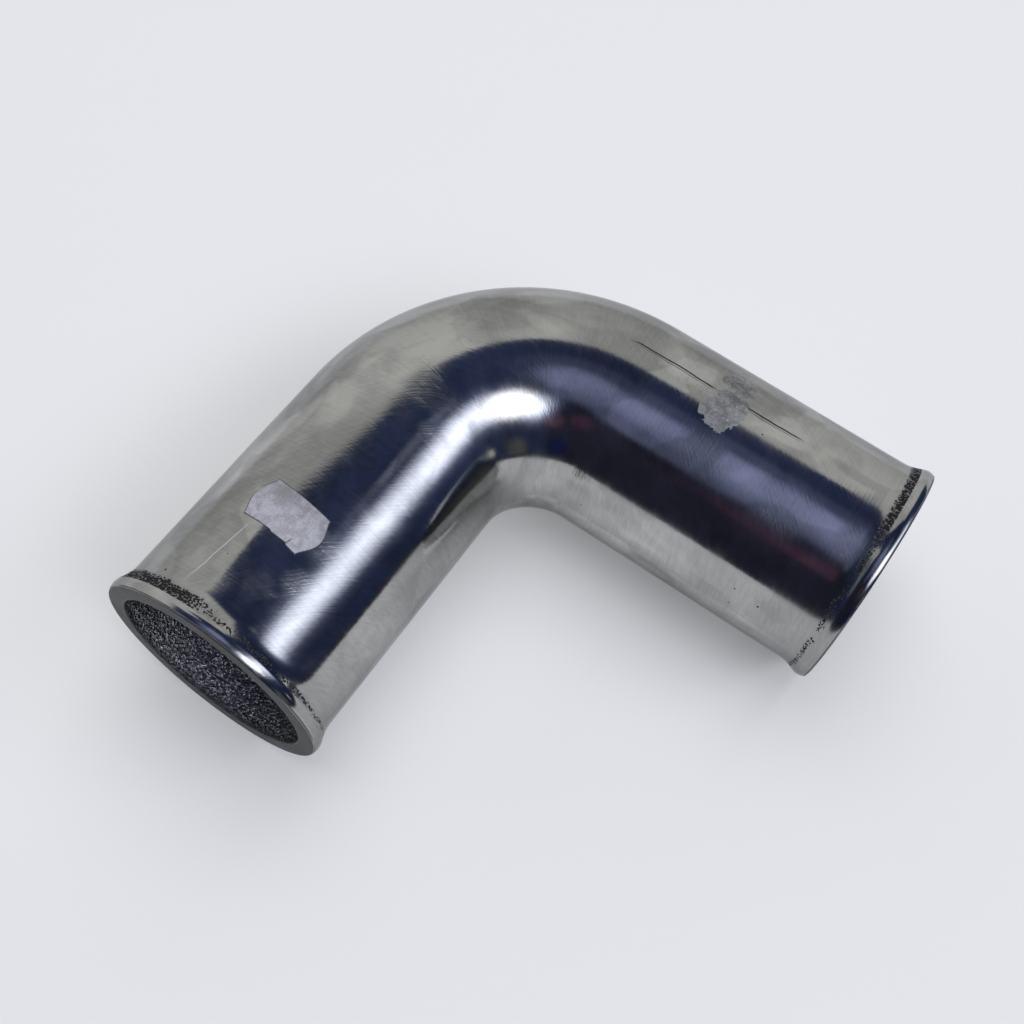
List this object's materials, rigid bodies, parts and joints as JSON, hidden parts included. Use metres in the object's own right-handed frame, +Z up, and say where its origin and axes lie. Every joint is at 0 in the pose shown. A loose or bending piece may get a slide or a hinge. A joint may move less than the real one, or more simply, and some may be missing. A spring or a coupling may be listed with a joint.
{
  "type": "intercooler pipe",
  "caption": "Cast aluminium 90 degree intercooler pipe elbow with equal straight legs, a hose bead at each mouth and a blank price label on one leg.",
  "frame": {"origin": "on the surface the elbow lies on, under the middle of its outer box", "axes": "+Z up, square to the level bend; leg A runs towards -Y and leg B towards +X, and their axes cross at x -46.825 mm, y 46.825 mm, z 33.35 mm"},
  "size_m": [0.1604, 0.1604, 0.0667],
  "materials": {
    "polished_cast_aluminium": "hand-buffed casting, as cast inside",
    "label_paper": "matt, slightly soiled"
  },
  "bodies": {
    "root": {"elbow_pipe": "polished_cast_aluminium", "paper_label": "label_paper"}
  },
  "joints": []
}
